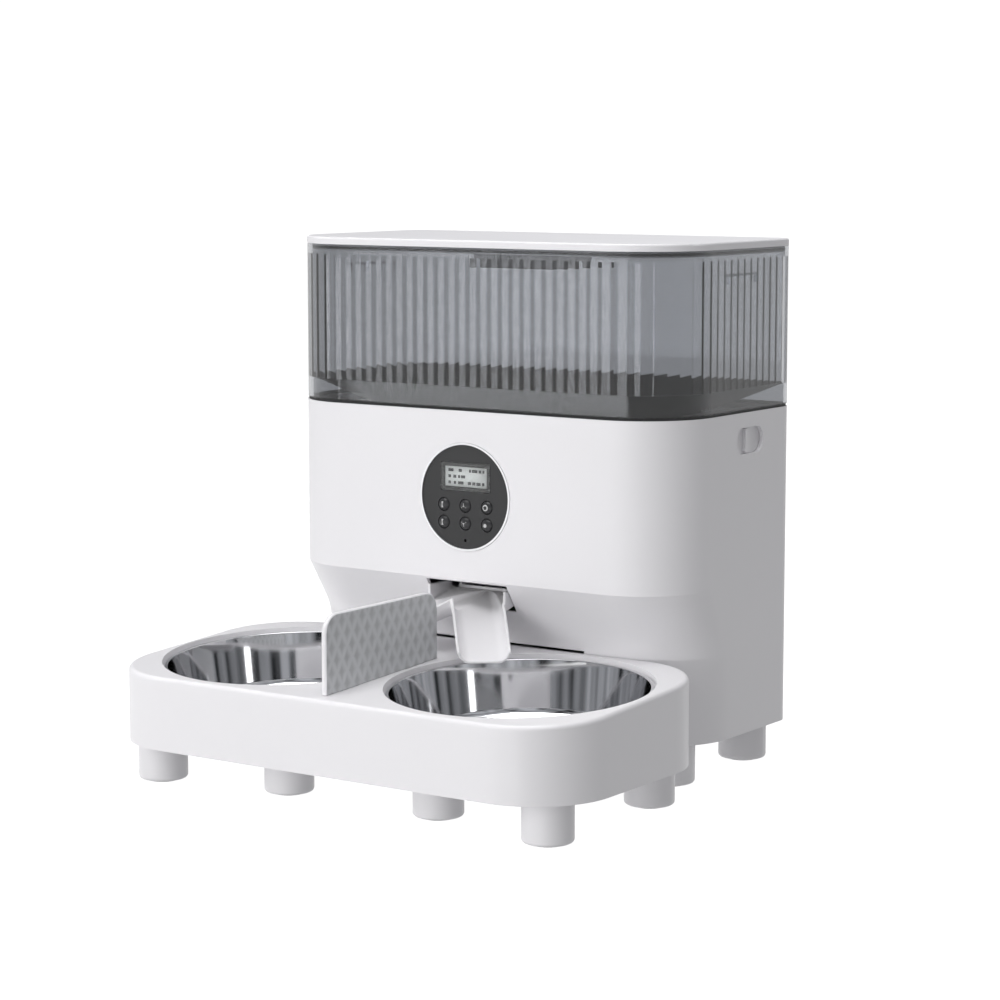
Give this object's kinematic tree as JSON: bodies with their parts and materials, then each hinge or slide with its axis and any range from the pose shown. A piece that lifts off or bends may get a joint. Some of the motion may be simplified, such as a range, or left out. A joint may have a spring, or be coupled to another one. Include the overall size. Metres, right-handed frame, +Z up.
{
  "type": "automatic pet feeder",
  "caption": "White automatic pet feeder: smoked clear hopper over a housing with round control panel, forked chute, and a raised tray holding steel bowls and a divider.",
  "frame": {"origin": "on the floor, midway between the tray front and the housing rear, on the centre plane", "axes": "+Z up, +X to the right seen from the front, the front faces -Y"},
  "size_m": [0.37, 0.33, 0.36],
  "materials": {
    "white_shell": "satin moulded",
    "grey_inner": "fine grain",
    "dark_inner": "fine grain",
    "cell_wrap": "printed sleeve, no lettering",
    "steel": "plain",
    "black_part": "moulded",
    "circuit_board": "solder mask",
    "brass": "turned",
    "bright_trim": "thin bright ring",
    "dark_panel": "soft matt",
    "clear_window": "clear window",
    "display": "reflective display",
    "grey_rubber": "moulded",
    "black_rubber": "moulded",
    "gear_plastic": "acetal",
    "smoked_clear": "smoke tinted clear, fluted inside",
    "paper_pack": "bonded paper",
    "grey_panel": "diamond relief between white edges",
    "polished_steel": "polished stainless",
    "button_rubber": "soft domes"
  },
  "bodies": {
    "housing": {"housing_shell": "white_shell", "hopper_deck": "grey_inner", "base_plate": "white_shell", "battery_box": "grey_inner", "batteries": "cell_wrap", "battery_contacts": "steel", "power_inlet": "black_part", "main_board": "circuit_board", "board_chips": "black_part", "dispenser_drum": "grey_inner", "shaft_bush": "brass", "gear_motor": "steel", "motor_bracket": "steel", "motor_screws": "steel", "outlet_duct": "white_shell", "panel_bezel": "bright_trim", "panel_fascia": "dark_panel", "display_lens": "clear_window", "display_module": "display", "microphone": "steel", "tact_switches": "black_part", "panel_board": "circuit_board", "panel_cup": "grey_inner", "chute": "white_shell", "body_feet": "white_shell", "body_foot_pads": "grey_rubber", "base_screws": "steel", "speaker": "black_part"},
    "battery_door": {"battery_door": "white_shell"},
    "rotor": {"rotor_hub": "white_shell", "rotor_vanes": "grey_rubber", "rotor_shaft": "steel", "drive_gear": "gear_plastic"},
    "pinion": {"motor_pinion": "brass", "motor_shaft": "steel"},
    "hopper": {"hopper_tank": "smoked_clear", "hopper_seal": "black_rubber", "hopper_funnel": "dark_inner", "hopper_catch_left": "smoked_clear", "hopper_catch_right": "smoked_clear"},
    "lid": {"lid": "white_shell", "lid_rim": "white_shell", "lid_seal": "black_rubber", "desiccant_box": "grey_inner", "desiccant_pack": "paper_pack"},
    "latch_left": {"latch_left": "white_shell"},
    "latch_right": {"latch_right": "white_shell"},
    "tray": {"tray": "white_shell", "tray_feet": "white_shell", "tray_foot_pads": "grey_rubber"},
    "divider": {"bowl_divider": "grey_panel"},
    "bowl_left": {"bowl_left": "polished_steel"},
    "bowl_right": {"bowl_right": "polished_steel"},
    "button_1": {"button_1": "button_rubber"},
    "button_2": {"button_2": "button_rubber"},
    "button_3": {"button_3": "button_rubber"},
    "button_4": {"button_4": "button_rubber"},
    "button_5": {"button_5": "button_rubber"},
    "button_6": {"button_6": "button_rubber"}
  },
  "joints": [
    {"name": "hopper_lift", "type": "slide", "parent": "housing", "child": "hopper", "axis": [0, 0, 1], "range_m": [0, 0.09]},
    {"name": "lid_lift", "type": "slide", "parent": "hopper", "child": "lid", "axis": [0, 0, 1], "range_m": [0, 0.06]},
    {"name": "battery_door_slide", "type": "slide", "parent": "housing", "child": "battery_door", "axis": [0, 1, 0], "range_m": [0, 0.095]},
    {"name": "tray_slide", "type": "slide", "parent": "housing", "child": "tray", "axis": [0, -1, 0], "range_m": [0, 0.1]},
    {"name": "divider_lift", "type": "slide", "parent": "tray", "child": "divider", "axis": [0, 0, 1], "range_m": [0, 0.06]},
    {"name": "bowl_left_tilt", "type": "hinge", "parent": "tray", "child": "bowl_left", "pos_m": [-0.02817, -0.01315, 0.08061], "axis": [-0.6655, 0.7455, 0.0374], "range_deg": [0, 12]},
    {"name": "bowl_right_tilt", "type": "hinge", "parent": "tray", "child": "bowl_right", "pos_m": [0.02817, -0.01315, 0.08061], "axis": [-0.6655, -0.7455, -0.0374], "range_deg": [0, 12]},
    {"name": "rotor_spin", "type": "hinge", "parent": "housing", "child": "rotor", "pos_m": [0, 0.098, 0.2], "axis": [0, 0, 1], "continuous": true},
    {"name": "pinion_spin", "type": "hinge", "parent": "housing", "child": "pinion", "pos_m": [0.026, 0.098, 0.16], "axis": [0, 0, 1], "continuous": true},
    {"name": "latch_left_slide", "type": "slide", "parent": "housing", "child": "latch_left", "axis": [0, 1, 0], "range_m": [0, 0.008]},
    {"name": "latch_right_slide", "type": "slide", "parent": "housing", "child": "latch_right", "axis": [0, 1, 0], "range_m": [0, 0.008]},
    {"name": "button_1_press", "type": "slide", "parent": "housing", "child": "button_1", "axis": [0, 1, 0], "range_m": [0, 0.0008], "stiffness_N_per_m": 600, "springref_m": -0.0002},
    {"name": "button_2_press", "type": "slide", "parent": "housing", "child": "button_2", "axis": [0, 1, 0], "range_m": [0, 0.0008], "stiffness_N_per_m": 600, "springref_m": -0.0002},
    {"name": "button_3_press", "type": "slide", "parent": "housing", "child": "button_3", "axis": [0, 1, 0], "range_m": [0, 0.0008], "stiffness_N_per_m": 600, "springref_m": -0.0002},
    {"name": "button_4_press", "type": "slide", "parent": "housing", "child": "button_4", "axis": [0, 1, 0], "range_m": [0, 0.0008], "stiffness_N_per_m": 600, "springref_m": -0.0002},
    {"name": "button_5_press", "type": "slide", "parent": "housing", "child": "button_5", "axis": [0, 1, 0], "range_m": [0, 0.0008], "stiffness_N_per_m": 600, "springref_m": -0.0002},
    {"name": "button_6_press", "type": "slide", "parent": "housing", "child": "button_6", "axis": [0, 1, 0], "range_m": [0, 0.0008], "stiffness_N_per_m": 600, "springref_m": -0.0002}
  ],
  "couplings": [
    {"joint": "pinion_spin", "follows": "rotor_spin", "ratio": -3.3333}
  ]
}
